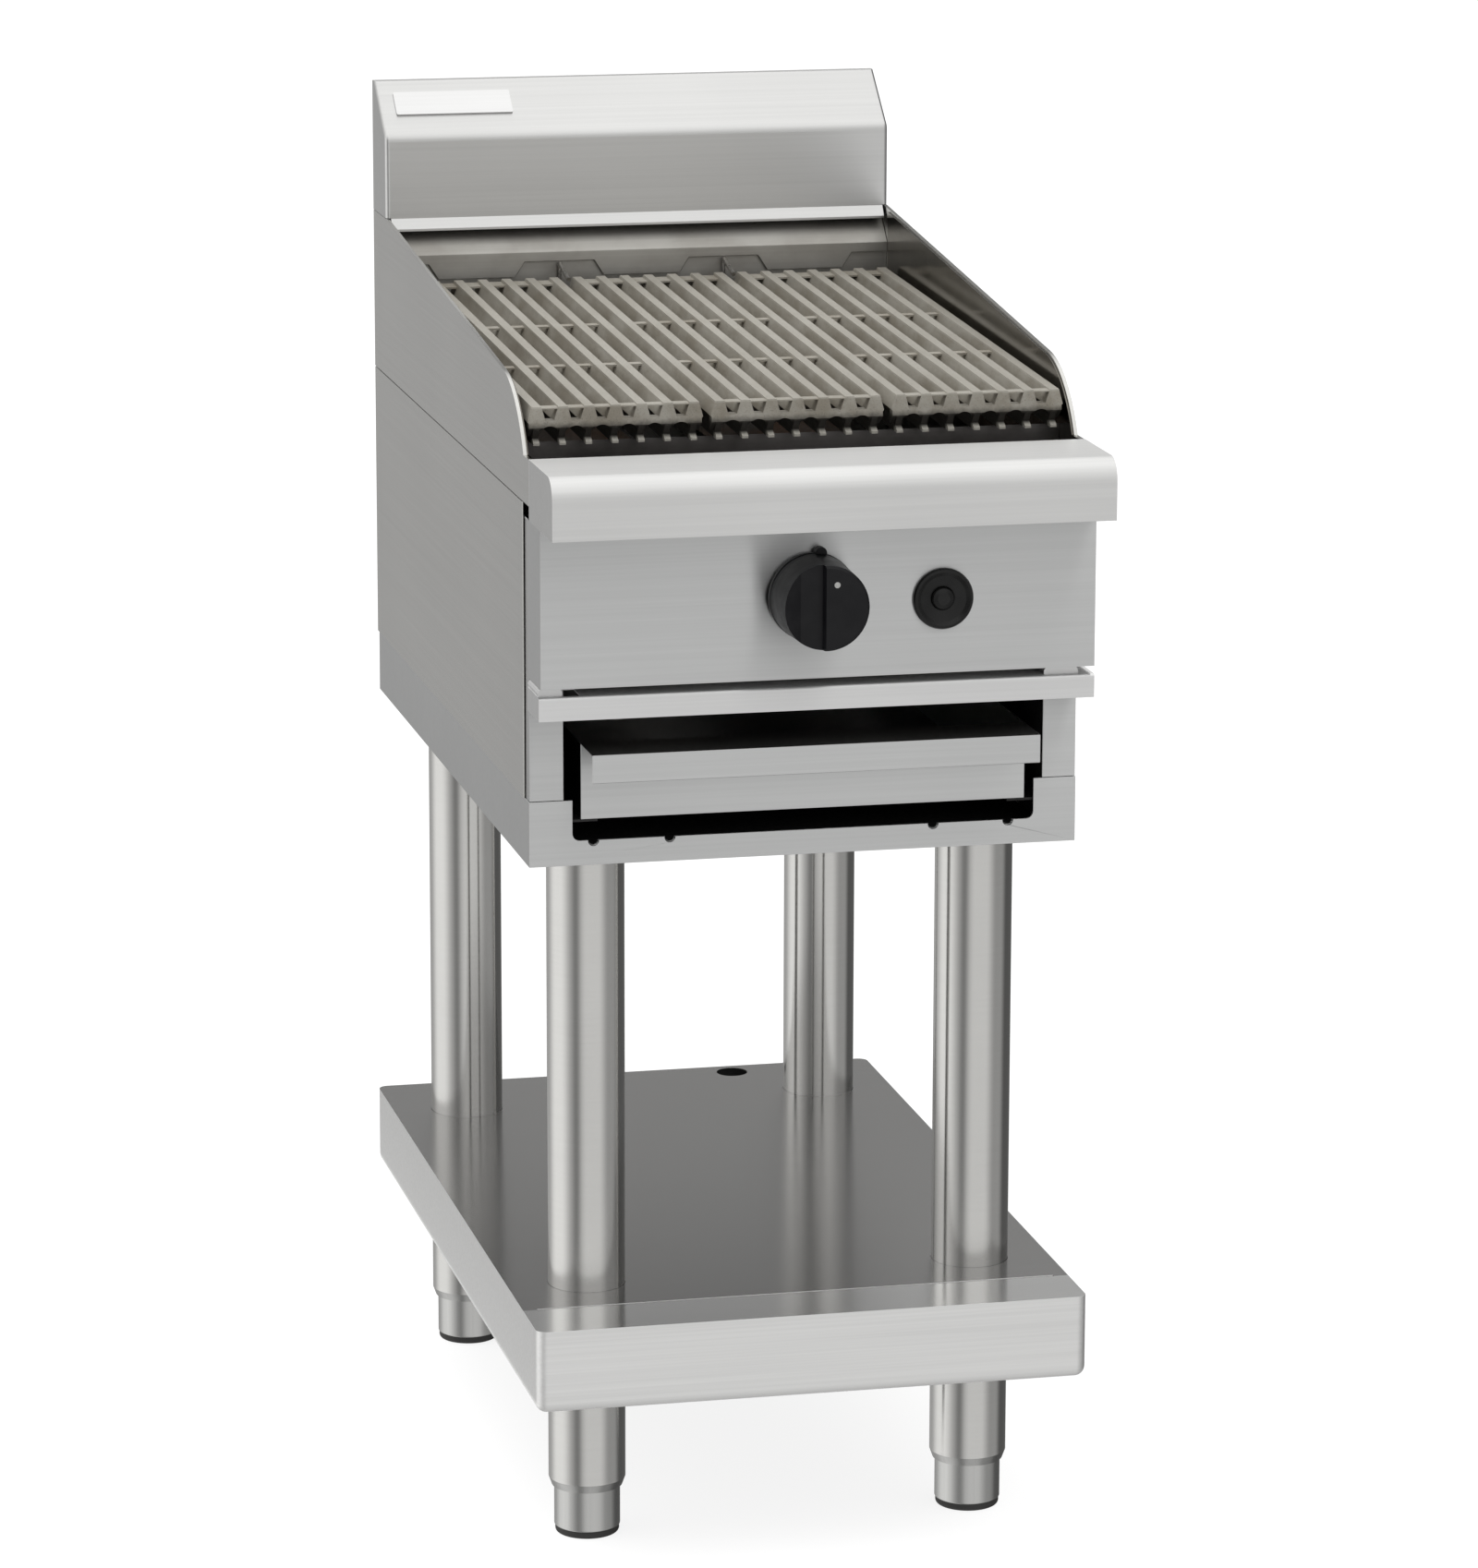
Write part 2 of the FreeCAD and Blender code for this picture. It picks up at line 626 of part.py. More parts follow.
def control_panel():
    """Box-folded panel with holes for the spindle and the igniter."""
    t = SHEET
    z1 = NOSE_BOTTOM_Z - GAP
    face = box(-PANEL_HALF, PANEL_HALF, PANEL_Y, PANEL_Y + t, PANEL_Z0, z1)
    left = box(-PANEL_HALF, -PANEL_HALF + t, PANEL_Y, FRONT_Y - TOUCH, PANEL_Z0, z1)
    bottom = box(-PANEL_HALF, PANEL_HALF, PANEL_Y, FRONT_Y - TOUCH, PANEL_Z0, PANEL_Z0 + t)
    panel = fuse_all([face, left, mirrored_x(left), bottom])
    panel = panel.cut(cylinder(6.0, (KNOB_X, PANEL_Y - 1, KNOB_Z), Y_AXIS, 5))
    return panel.cut(cylinder(13.0, (IGNITER_X, PANEL_Y - 1, IGNITER_Z), Y_AXIS, 5))


def ledge_strip():
    """Folded strip under the control panel, with a catch at each end and a latch hole."""
    t = SHEET
    half = HALF_WIDTH
    front = box(-half, half, LEDGE_Y, LEDGE_Y + t, LEDGE_Z0, LEDGE_Z1)
    top = box(-half, half, LEDGE_Y, FRONT_Y - TOUCH, LEDGE_Z1 - t, LEDGE_Z1)
    lip = box(-half, half, LEDGE_Y, LEDGE_Y + 12, LEDGE_Z0, LEDGE_Z0 + t)
    end = box(-half, -half + t, LEDGE_Y, FRONT_Y - TOUCH, LEDGE_Z0, LEDGE_Z1)
    strip = fuse_all([front, top, lip, end, mirrored_x(end)])
    fold = [e for e in strip.Edges if abs(e.tangentAt(e.FirstParameter).x) > 0.9
            and e.BoundBox.YMax < LEDGE_Y + 0.01 and e.BoundBox.ZMin > LEDGE_Z1 - 0.01]
    strip = strip.makeFillet(2.4, fold)
    right_catch = ledge_catch(185, 213, LEDGE_Y + 20)
    left_catch = ledge_catch(-HALF_WIDTH + 0.5, -205, FRONT_Y - TOUCH)
    hole = box(-204, -191, LEDGE_Y + 4, LEDGE_Y + 32, LEDGE_Z1 - t - 1, LEDGE_Z1 + 1)
    return fuse_all([strip, right_catch, left_catch]).cut(hole)


def ledge_catch(x0, x1, back_y):
    """Low block with rounded upper ends, on the ledge, that the control panel closes on."""
    height = 6.0
    block = box(x0, x1, LEDGE_Y + 6, back_y, LEDGE_Z1 - SHEET, LEDGE_Z1 + height)
    ends = [e for e in block.Edges if abs(e.tangentAt(e.FirstParameter).y) > 0.9
            and e.BoundBox.ZMin > LEDGE_Z1 + 1]
    return block.makeFillet(height - 2, ends)


def front_surround():
    """Upright frame round the tray's opening, folded back at both sides."""
    t = PANEL_SHEET
    half = HALF_WIDTH - PANEL_SHEET - 0.1
    z0 = BASE_Z1 + GAP
    z1 = NOSE_BOTTOM_Z - 1
    header_top = LEDGE_Z0 + 2
    plate = box(-half, half, FRONT_Y, FRONT_Y + t, z0, z1)
    lower = box(-OPENING_HALF, OPENING_HALF, FRONT_Y - 1, FRONT_Y + t + 1, z0 - 1, OPENING_TOP_Z)
    upper = box(-OPENING_HALF, OPENING_HALF, FRONT_Y - 1, FRONT_Y + t + 1, header_top, z1 + 1)
    fold = box(half - t, half, FRONT_Y, SIDE_FRONT_Y - TOUCH, z0, z1)
    return fuse_all([plate.cut(lower).cut(upper), fold, mirrored_x(fold)])


# ---------------------------------------------------------------- tray and its bay
def drip_tray():
    """Pull-out tray with a forward lip that folds down as a handle."""
    t = SHEET
    outer = box(-TRAY_HALF, TRAY_HALF, TRAY_FRONT_Y, TRAY_BACK_Y, TRAY_Z0, TRAY_Z1)
    inner = box(-TRAY_HALF + t, TRAY_HALF - t, TRAY_FRONT_Y + t, TRAY_BACK_Y - t,
                TRAY_Z0 + t, TRAY_Z1 + 1)
    shelf = box(-TRAY_HALF, TRAY_HALF, TRAY_LIP_Y, TRAY_FRONT_Y + t, TRAY_Z1 - t, TRAY_Z1)
    fold = box(-TRAY_HALF, TRAY_HALF, TRAY_LIP_Y, TRAY_LIP_Y + t, TRAY_Z1 - TRAY_LIP_H, TRAY_Z1)
    return fuse_all([outer.cut(inner), shelf, fold])


def bay_side():
    """Right wall of the tray's bay, with the runner that the tray slides on."""
    t = SHEET
    z0 = BAY_FLOOR_Z + t + TOUCH
    runner_z = TRAY_Z0 - 2.5
    y0 = FRONT_Y + 4
    wall = box(BAY_X, BAY_X + t, y0, BAY_BACK_Y, z0, FIREBOX_Z0 - 1.4)
    runner = box(TRAY_HALF - 14, BAY_X + t, y0, BAY_BACK_Y, runner_z, runner_z + 2)
    return wall.fuse(runner).removeSplitter()


def bay_floor():
    return box(-BAY_X, BAY_X, FRONT_Y + 4, BAY_BACK_Y, BAY_FLOOR_Z, BAY_FLOOR_Z + SHEET)


def firebox_floor():
    """Sheet under the burners with a lipped opening over the drip tray."""
    t = SHEET
    z1 = FIREBOX_Z0 - TOUCH
    hole_x = 160.0
    hole_y0 = FIREBOX_FRONT_Y + 20
    hole_y1 = FIREBOX_REAR_Y - 20
    lip_z = z1 - 22
    sheet = box(-LINER_X, LINER_X, FIREBOX_FRONT_Y, FIREBOX_REAR_Y, z1 - t, z1)
    rim = box(-hole_x, hole_x, hole_y0, hole_y1, lip_z, z1)
    hole = box(-hole_x + t, hole_x - t, hole_y0 + t, hole_y1 - t, lip_z - 1, z1 + 1)
    return sheet.fuse(rim).cut(hole).removeSplitter()


# ---------------------------------------------------------------- firebox, burners, radiants
def firebox_front():
    """Front wall of the firebox with burner holes and the shelf for the radiants."""
    t = SHEET
    wall = box(-FIREBOX_HALF, FIREBOX_HALF, FIREBOX_FRONT_Y, FIREBOX_FRONT_Y + t,
               FIREBOX_Z0, GUTTER_BACK_TOP_Z - 4)
    shelf = box(-FIREBOX_HALF, FIREBOX_HALF, FIREBOX_FRONT_Y, FIREBOX_FRONT_Y + 18,
                RADIANT_Z - t, RADIANT_Z)
    wall = wall.fuse(shelf).removeSplitter()
    for x in (-BURNER_X, BURNER_X):
        wall = wall.cut(cylinder(BURNER_R + 1, (x, FIREBOX_FRONT_Y - 1, BURNER_Z), Y_AXIS, 5))
    return wall.cut(cylinder(3.0, (KNOB_X, FIREBOX_FRONT_Y - 1, PILOT_Z), Y_AXIS, 5))


def firebox_rear():
    """Rear wall with the radiant shelf, the rail that the grates rest on and the upright stop."""
    t = SHEET
    rail_t = 1.6
    rail_z = GRATE_RAIL_Z
    stop_y = GRATE_STOP_Y
    stop_top = BAFFLE_FOLD_Z - 3
    wall = box(-FIREBOX_HALF, FIREBOX_HALF, FIREBOX_REAR_Y, FIREBOX_REAR_Y + t, FIREBOX_Z0,
               rail_z - rail_t)
    shelf = box(-FIREBOX_HALF, FIREBOX_HALF, FIREBOX_REAR_Y - 18, FIREBOX_REAR_Y + t,
                RADIANT_Z - t, RADIANT_Z)
    rail = box(-FIREBOX_HALF, FIREBOX_HALF, FIREBOX_REAR_Y - 40, stop_y + t, rail_z - rail_t, rail_z)
    stop = box(-WELL_HALF, WELL_HALF, stop_y, stop_y + t, rail_z - rail_t, stop_top)
    return fuse_all([wall, shelf, rail, stop])


def grate_pegs():
    """Bent rods on the rear stop; each one lies over the gap between two grates."""
    rod_r = 1.9
    back_y = GRATE_STOP_Y - rod_r
    shapes = []
    for x in (-GRATE_PITCH / 2, GRATE_PITCH / 2):
        points = [V(x, back_y, 940), V(x, back_y, 975), V(x, back_y - 42, 966)]
        shapes.append(bent_pipe(points, rod_r, 4.0))
    return Part.makeCompound(shapes)


def burner(x):
    """Tubular bar burner with a flared inlet and two rows of ports."""
    y0 = FIREBOX_FRONT_Y - 14
    body = cylinder(BURNER_R, (x, y0, BURNER_Z), Y_AXIS, FIREBOX_REAR_Y - y0 - 2)
    bore = cylinder(BURNER_R - 2, (x, y0 - 1, BURNER_Z), Y_AXIS, FIREBOX_REAR_Y - y0 - 6)
    tubular = body.cut(bore)
    port_length = 14.0
    port_pitch = 30.0
    for index in range(16):
        y = FIREBOX_FRONT_Y + 40 + index * port_pitch
        port = box(x - BURNER_R - 1, x + BURNER_R + 1, y, y + port_length,
                   BURNER_Z + 5.0, BURNER_Z + 7.0)
        tubular = tubular.cut(port)
    return tubular


def radiant(x):
    """Cast inverted-V bar that lies over one burner."""
    half = 62.0
    height = 26.0
    thickness = 5.0
    y0 = FIREBOX_FRONT_Y + 6
    y1 = FIREBOX_REAR_Y - 6
    z = RADIANT_Z + TOUCH
    outline = [
        (x - half, z),
        (x, z + height),
        (x + half, z),
        (x + half - 2 * thickness, z),
        (x, z + height - thickness),
        (x - half + 2 * thickness, z),
    ]
    return prism_y(outline, y0, y1)


def manifold():
    """Cross pipe that feeds both injectors, with its stub to the valve."""
    reach = BURNER_X + 14
    pipe = cylinder(PIPE_R, (-reach, MANIFOLD_Y, BURNER_Z), X_AXIS, 2 * reach)
    stub = cylinder(5.0, (KNOB_X, VALVE_BACK_Y, BURNER_Z), Y_AXIS, MANIFOLD_Y - VALVE_BACK_Y)
    return pipe.fuse(stub).removeSplitter()


def injectors():
    """Brass nozzles that point into the burners."""
    shapes = []
    for x in (-BURNER_X, BURNER_X):
        y0 = MANIFOLD_Y + PIPE_R + 0.1
        nut = hex_bar(6.0, (x, y0, BURNER_Z), Y_AXIS, 8.0)
        tip = cylinder(3.5, (x, y0 + 8.0, BURNER_Z), Y_AXIS, 6.0)
        bore = cylinder(0.8, (x, y0 - 1, BURNER_Z), Y_AXIS, 20.0)
        shapes.append(nut.fuse(tip).cut(bore).removeSplitter())
    return Part.makeCompound(shapes)


def gas_valve():
    """Tap body behind the panel, bored for the spindle."""
    body = box(KNOB_X - 20, KNOB_X + 20, VALVE_FRONT_Y, VALVE_BACK_Y, PIPE_CROSS_Z - 10, KNOB_Z + 18)
    neck = cylinder(9.0, (KNOB_X, VALVE_FRONT_Y - 6, KNOB_Z), Y_AXIS, 8.0)
    bore = cylinder(SPINDLE_R + 0.3, (KNOB_X, VALVE_FRONT_Y - 8, KNOB_Z), Y_AXIS, 30.0)
    return body.fuse(neck).cut(bore).removeSplitter()


def gas_inlet_pipe():
    """Supply pipe from the stub at the back, round the firebox and under it, to the valve."""
    end_y = SHELF_BACK_Y
    turn_y = 356.0
    points = [
        V(INLET_X, end_y, INLET_Z),
        V(INLET_X, turn_y, INLET_Z),
        V(PIPE_X, turn_y, INLET_Z),
        V(PIPE_X, turn_y, PIPE_Z),
        V(PIPE_X, MANIFOLD_Y, PIPE_Z),
        V(PIPE_X, MANIFOLD_Y, PIPE_CROSS_Z),
        V(KNOB_X, MANIFOLD_Y, PIPE_CROSS_Z),
        V(KNOB_X, VALVE_BACK_Y, PIPE_CROSS_Z),
    ]
    pipe = bent_pipe(points, PIPE_R, 14.0)
    stub = cylinder(INLET_R, (INLET_X, end_y - INLET_LENGTH, INLET_Z), Y_AXIS, INLET_LENGTH)
    bore = cylinder(PIPE_R - 2, (INLET_X, end_y - 30, INLET_Z), Y_AXIS, 40)
    return pipe.fuse(stub).cut(bore).removeSplitter()


def pilot_burner():
    """Hooded pilot jet between the burners, on a bent bracket."""
    x = KNOB_X + 22
    bracket = box(x - 7, x + 7, FIREBOX_FRONT_Y + SHEET, FIREBOX_FRONT_Y + 22, PILOT_Z - 20, PILOT_Z - 18)
    hood = cylinder(5.0, (x, FIREBOX_FRONT_Y + 15, PILOT_Z - 18), Z_AXIS, 14)
    mouth = box(x - 3, x + 3, FIREBOX_FRONT_Y + 14, FIREBOX_FRONT_Y + 30, PILOT_Z - 10, PILOT_Z + 1)
    return bracket.fuse(hood).cut(mouth).removeSplitter()


def thermocouple():
    """Flame sensor rod from the valve through the firebox wall to the pilot."""
    length = FIREBOX_FRONT_Y + 24 - VALVE_BACK_Y
    rod = cylinder(2.0, (KNOB_X, VALVE_BACK_Y, PILOT_Z), Y_AXIS, length)
    nut = hex_bar(5.0, (KNOB_X, VALVE_BACK_Y, PILOT_Z), Y_AXIS, 6.0)
    return rod.fuse(nut).removeSplitter()


# ---------------------------------------------------------------- grates
def grate(x):
    """Cast grate of seven ridged bars, tied by cross-bars with a drain hole in every gap."""
    half_span = BAR_PITCH * (BARS_PER_GRATE - 1) / 2
    positions = [index * BAR_PITCH - half_span for index in range(BARS_PER_GRATE)]
    bars = [grate_bar(position) for position in positions]
    ties = [cross_bar(half_span, y, CROSS_LENGTH) for y in CROSS_POSITIONS]
    ties.append(cross_bar(half_span, GRATE_LENGTH - REAR_BAR_LENGTH, REAR_BAR_LENGTH))
    feet = [rib_foot(position) for position in positions]
    body = fuse_all(bars + ties + [front_bar(half_span)] + feet)
    body.rotate(V(0, 0, 0), X_AXIS, GRATE_TILT)
    body.translate(V(x, GRATE_FRONT_Y, GRATE_FRONT_Z))
    return body


def grate_bar(x):
    """One bar: a ridge that widens downwards, then a thin rib. The top is at z = 0.

    The rib's lower front corner slopes back under the ridge.
    """
    rib_top = BAR_BASE_Z - 5
    ridge = [
        (x - BAR_TOP_W / 2, 0),
        (x + BAR_TOP_W / 2, 0),
        (x + BAR_BASE_W / 2, BAR_BASE_Z),
        (x + RIB_W / 2, rib_top),
        (x - RIB_W / 2, rib_top),
        (x - BAR_BASE_W / 2, BAR_BASE_Z),
    ]
    rib = prism_x([(0, rib_top + 1), (GRATE_LENGTH, rib_top + 1), (GRATE_LENGTH, RIB_Z),
                   (UNDERCUT, RIB_Z), (0, rib_top)], x - RIB_W / 2, x + RIB_W / 2)
    return prism_y(ridge, 0, GRATE_LENGTH).fuse(rib)


def rib_foot(x):
    """Toe under the front of a rib, with a sloping top, that stands on the gutter's wall."""
    half = RIB_W / 2
    return prism_x([(0.5, RIB_Z), (0.5, RIB_Z + 1.8), (UNDERCUT + 2, RIB_Z + 8),
                    (UNDERCUT + 2, RIB_Z)], x - half, x + half)


def cross_bar(half_span, y, length):
    """Tie across the bars, a little below their tops, with a tapered hole in every gap."""
    tie = box(-half_span, half_span, y, y + length, BAR_BASE_Z - 6, CROSS_TOP_Z)
    for index in range(BARS_PER_GRATE - 1):
        x = (index + 0.5) * BAR_PITCH - half_span
        hole = [(x - 5.4, -3.9), (x + 5.4, -3.9), (x + 3.4, -11.5), (x - 3.4, -11.5)]
        tie = tie.cut(prism_y(hole, y - 1, y + length + 1))
    return tie


def front_bar(half_span):
    """Front plate: a tapered outlet under the rim in every gap, and arches between the ribs."""
    depth = 10.0
    arch_r = 8.3
    arch_z = -24.0
    edge = half_span + BAR_BASE_W / 2 - 1
    section = [(0, RIM_TOP_Z), (depth, RIM_TOP_Z), (depth, RIB_Z + 6), (0, BAR_BASE_Z - 5)]
    plate = prism_x(section, -half_span, half_span)
    end = prism_x([(0, -9), (depth, -9)] + section[2:], -edge, edge)
    plate = plate.fuse(end)
    for index in range(BARS_PER_GRATE - 1):
        x = (index + 0.5) * BAR_PITCH - half_span
        outlet = [(x - 6.3, -1.9), (x + 6.3, -1.9), (x + 3.9, -11.2), (x - 3.9, -11.2)]
        plate = plate.cut(prism_y(outlet, -1, depth + 1))
        plate = plate.cut(cylinder(arch_r, (x, -1, arch_z), Y_AXIS, depth + 2))
        plate = plate.cut(box(x - arch_r, x + arch_r, -1, depth + 1, RIB_Z - 1, arch_z))
    return plate


# ---------------------------------------------------------------- controls
def knob():
    """Round control knob with a skirt, a pointer on the skirt and a raised centre grip."""
    skirt_t = 6.0
    taper = 1.0
    bore = SPINDLE_R + 0.05
    profile = [
        (bore, KNOB_BACK_Y),
        (SKIRT_R, KNOB_BACK_Y),
        (SKIRT_R, KNOB_BACK_Y - skirt_t + 2),
        (SKIRT_R - 2, KNOB_BACK_Y - skirt_t),
        (KNOB_R + 0.4, KNOB_BACK_Y - skirt_t - 1.5),
        (KNOB_R, KNOB_BACK_Y - skirt_t - 6),
        (KNOB_R - taper, KNOB_FRONT_Y + 2),
        (KNOB_R - taper - 2, KNOB_FRONT_Y),
        (bore, KNOB_FRONT_Y),
    ]
    body = revolve_about_y(profile, KNOB_X, KNOB_Z)
    plug = cylinder(SPINDLE_R + 0.5, (KNOB_X, KNOB_FRONT_Y, KNOB_Z), Y_AXIS, 18.0)
    solid = fuse_all([body, plug, knob_pointer()]).cut(grip_scoop(-1))
    return solid.cut(knob_dot())


def grip_scoop(side):
    """Shallow wedge cut beside the centre line of the knob's face."""
    deep = KNOB_FRONT_Y + KNOB_GRIP_DEPTH
    outline = [
        V(KNOB_X + side * 1.0, KNOB_FRONT_Y - 1, 0),
        V(KNOB_X + side * 2.5, deep, 0),
        V(KNOB_X + side * 20.0, deep, 0),
        V(KNOB_X + side * 40.0, KNOB_FRONT_Y - 1, 0),
    ]
    wedge = face_of(outline).extrude(V(0, 0, 2 * SKIRT_R))
    wedge.translate(V(0, 0, KNOB_Z - SKIRT_R))
    return wedge


def knob_pointer():
    """Round nub on the rim of the skirt, a little clockwise of the top."""
    angle = math.radians(9.0)
    reach = SKIRT_R + 0.5
    x = KNOB_X + reach * math.sin(angle)
    z = KNOB_Z + reach * math.cos(angle)
    return cylinder(4.6, (x, KNOB_BACK_Y - 7.0, z), Y_AXIS, 7.0)


def knob_dot():
    """Pale marker set into the knob's face."""
    angle = math.radians(22.0)
    reach = 20.0
    x = KNOB_X + reach * math.sin(angle)
    z = KNOB_Z + reach * math.cos(angle)
    return cylinder(2.4, (x, KNOB_FRONT_Y, z), Y_AXIS, 0.8)


def valve_spindle():
    """Steel spindle from the knob into the valve."""
    back_y = VALVE_FRONT_Y + 8
    front_y = KNOB_FRONT_Y + 18.3
    return cylinder(SPINDLE_R, (KNOB_X, front_y, KNOB_Z), Y_AXIS, back_y - front_y)


def igniter_bezel():
    """Dished ring on the panel round the igniter button."""
    bore = 9.6
    profile = [
        (bore, PANEL_Y + 12),
        (bore, PANEL_Y - 0.6),
        (IGNITER_R - 6.0, PANEL_Y - 3.0),
        (IGNITER_R - 3.0, PANEL_Y - 5.0),
        (IGNITER_R - 1.0, PANEL_Y - 4.4),
        (IGNITER_R, PANEL_Y - 2.4),
        (IGNITER_R, PANEL_Y - TOUCH / 2),
        (12.6, PANEL_Y - TOUCH / 2),
        (12.6, PANEL_Y + 12),
    ]
    return revolve_about_y(profile, IGNITER_X, IGNITER_Z)


def igniter_button():
    """Push button with a domed face."""
    face_y = PANEL_Y - 4.6
    profile = [
        (0, face_y),
        (5.0, face_y + 0.3),
        (8.2, face_y + 1.6),
        (9.2, face_y + 3.0),
        (9.2, PANEL_Y + 8),
        (0, PANEL_Y + 8),
    ]
    return revolve_about_y(profile, IGNITER_X, IGNITER_Z)


def piezo_body():
    """Spark generator behind the button."""
    return cylinder(12.0, (IGNITER_X, PANEL_Y + 14, IGNITER_Z), Y_AXIS, 36.0)


# ---------------------------------------------------------------- build everything
def main():
    os.makedirs("parts", exist_ok=True)
    corners = {
        "fl": (-LEG_X, LEG_FRONT_Y),
        "fr": (LEG_X, LEG_FRONT_Y),
        "bl": (-LEG_X, LEG_REAR_Y),
        "br": (LEG_X, LEG_REAR_Y),
    }
    for tag, (x, y) in corners.items():
        save(leg(x, y), "leg_" + tag)
        save(foot_insert(x, y), "foot_insert_" + tag)
        save(foot_pad(x, y), "foot_pad_" + tag)
    for name, maker in (("side_panel", side_panel), ("side_wing", side_wing),
                        ("wing_liner", liner), ("bay_side", bay_side)):
        shape = maker()
        save(shape, name + "_right")
        save(mirrored_x(shape), name + "_left")
    for name, x in (("left", -BURNER_X), ("right", BURNER_X)):
        save(burner(x), "burner_" + name)
        save(radiant(x), "radiant_" + name)
    for name, index in (("left", -1), ("centre", 0), ("right", 1)):
        save(grate(index * GRATE_PITCH), "grate_" + name)
    for maker in (corner_bolts, base_frame, undershelf, shelf_collars, foot_collars, rear_panel,
                  splashback, badge_plate, flue_baffle, nose, grease_gutter, control_panel,
                  ledge_strip, front_surround, drip_tray, bay_floor, firebox_floor, firebox_front,
                  firebox_rear, grate_pegs, manifold, injectors, gas_valve, gas_inlet_pipe,
                  pilot_burner, thermocouple, knob, knob_dot, valve_spindle, igniter_bezel,
                  igniter_button, piezo_body):
        save(maker(), maker.__name__)


main()
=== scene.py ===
"""Looks of a gas chargrill on an open leg stand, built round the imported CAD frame.

Metres, +X to the cook's right, -Y towards the cook, +Z up, floor at z = 0.
"""

import json
import math

import bpy
from mathutils import Matrix, Vector

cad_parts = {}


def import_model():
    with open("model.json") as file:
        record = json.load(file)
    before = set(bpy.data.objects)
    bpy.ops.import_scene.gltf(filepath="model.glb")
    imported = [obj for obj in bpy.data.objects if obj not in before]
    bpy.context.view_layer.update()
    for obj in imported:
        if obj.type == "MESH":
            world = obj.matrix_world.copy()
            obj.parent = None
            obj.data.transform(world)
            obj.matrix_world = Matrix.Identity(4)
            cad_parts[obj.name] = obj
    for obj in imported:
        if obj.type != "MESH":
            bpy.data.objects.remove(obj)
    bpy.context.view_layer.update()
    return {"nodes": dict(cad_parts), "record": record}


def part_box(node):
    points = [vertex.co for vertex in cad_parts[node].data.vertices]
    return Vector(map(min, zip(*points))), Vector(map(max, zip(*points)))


# ---------------------------------------------------------------- view
LONG_SIDE_SENSOR = 36.0
LENS = 148.4
CAMERA_AT = Vector((-1.170, -5.189, 1.788))
YAW = math.radians(12.86)
PITCH = math.radians(12.84)
ROLL = math.radians(0.14)

# ---------------------------------------------------------------- studio
# brightness of what the camera sees behind the object, and of the room that lights it
BACKDROP = 1.0
HORIZON = 0.40
CEILING = 1.45
FRONT_CEILING = 1.3
NADIR = 0.75
# how steeply a direction rises or falls where the horizon turns into ceiling or nadir
CEILING_EDGE = (0.34, 0.80)
NADIR_EDGE = (-0.80, -0.35)
# the ceiling runs from its front to its full brightness between these two directions
CEILING_FRONT_TO_BACK = (-0.8, 0.4)
# soft boxes and flags round the horizon: azimuth in degrees (0 is in front, 90 to the right),
# half width and edge width in degrees, and what each adds to the horizon's level
SOFT_BOXES = (
    (-102.0, 33.0, 46.0, 0.70),
    (-158.0, 14.0, 20.0, 0.06),
    (162.0, 16.0, 14.0, -0.12),
    (-39.0, 9.0, 16.0, -0.14),
    (9.0, 34.0, 34.0, 0.41),
    (120.0, 30.0, 24.0, -0.28),
)
OVERHEAD_AT = Vector((-0.9, -1.4, 3.4))
OVERHEAD_AIM = Vector((0.0, 0.0, 0.8))
OVERHEAD_SIZE = (2.6, 2.0)
OVERHEAD_POWER = 34.0
FLOOR_RADIUS = 60.0
FLOOR_SIDES = 96
FLOOR_GREY = 0.24
FLOOR_GLOW = 0.86

# ---------------------------------------------------------------- finishes
# cycles of noise per metre, along and across the brushing
FINE_GRAIN = (2.5, 420.0)
BROAD_GRAIN = (1.2, 70.0)
STEEL = (0.60, 0.605, 0.605)
# soot and painted shade for the grates' lower parts
SOOT_AND_SHADE = (0.024, 0.022, 0.020)
# brushed sheets by material name, with what differs from brushed()'s usual finish
SHEETS = {
    "panel_steel": dict(color=STEEL, rough=0.31, anisotropy=1.0),
    "side_steel": dict(color=(0.58, 0.575, 0.555), rough=0.26, grain="Y"),
    "ledge_steel": dict(color=(0.74, 0.74, 0.74), rough=0.31, anisotropy=1.0),
    "nose_steel": dict(color=(0.69, 0.69, 0.685), rough=0.36),
    "splash_steel": dict(color=(0.60, 0.60, 0.595), rough=0.30),
    "foot_metal": dict(color=(0.55, 0.55, 0.54), rough=0.24, grain="Z", anisotropy=0.3),
    "liner_steel": dict(color=(0.18, 0.17, 0.15), rough=0.18, grain="Y", anisotropy=0.3,
                        streak=0.04, stain=0.5, stain_color=(0.07, 0.06, 0.05)),
    "baffle_steel": dict(color=(0.42, 0.41, 0.385), rough=0.46, anisotropy=0.4,
                         streak=0.05, stain=0.25, stain_color=(0.13, 0.105, 0.08)),
    "gutter_steel": dict(color=(0.20, 0.19, 0.185), rough=0.34, anisotropy=0.5,
                         streak=0.06, stain=0.5, stain_color=(0.05, 0.045, 0.04)),
    "tray_steel": dict(color=(0.58, 0.585, 0.585), rough=0.28, anisotropy=0.85,
                       streak=0.04, stain=0.85, stain_color=(0.09, 0.085, 0.08),
                       stain_flat_faces=True),
    "badge_metal": dict(color=(0.70, 0.70, 0.70), rough=0.42, anisotropy=0.3, streak=0.03),
}

SIDE_NODES = ("side_panel_left", "side_panel_right", "side_wing_left", "side_wing_right")
# nodes that look different from the rest of their slot in the record
OWN_FINISH = {"ledge_strip": "ledge_steel", **{name: "side_steel" for name in SIDE_NODES}}

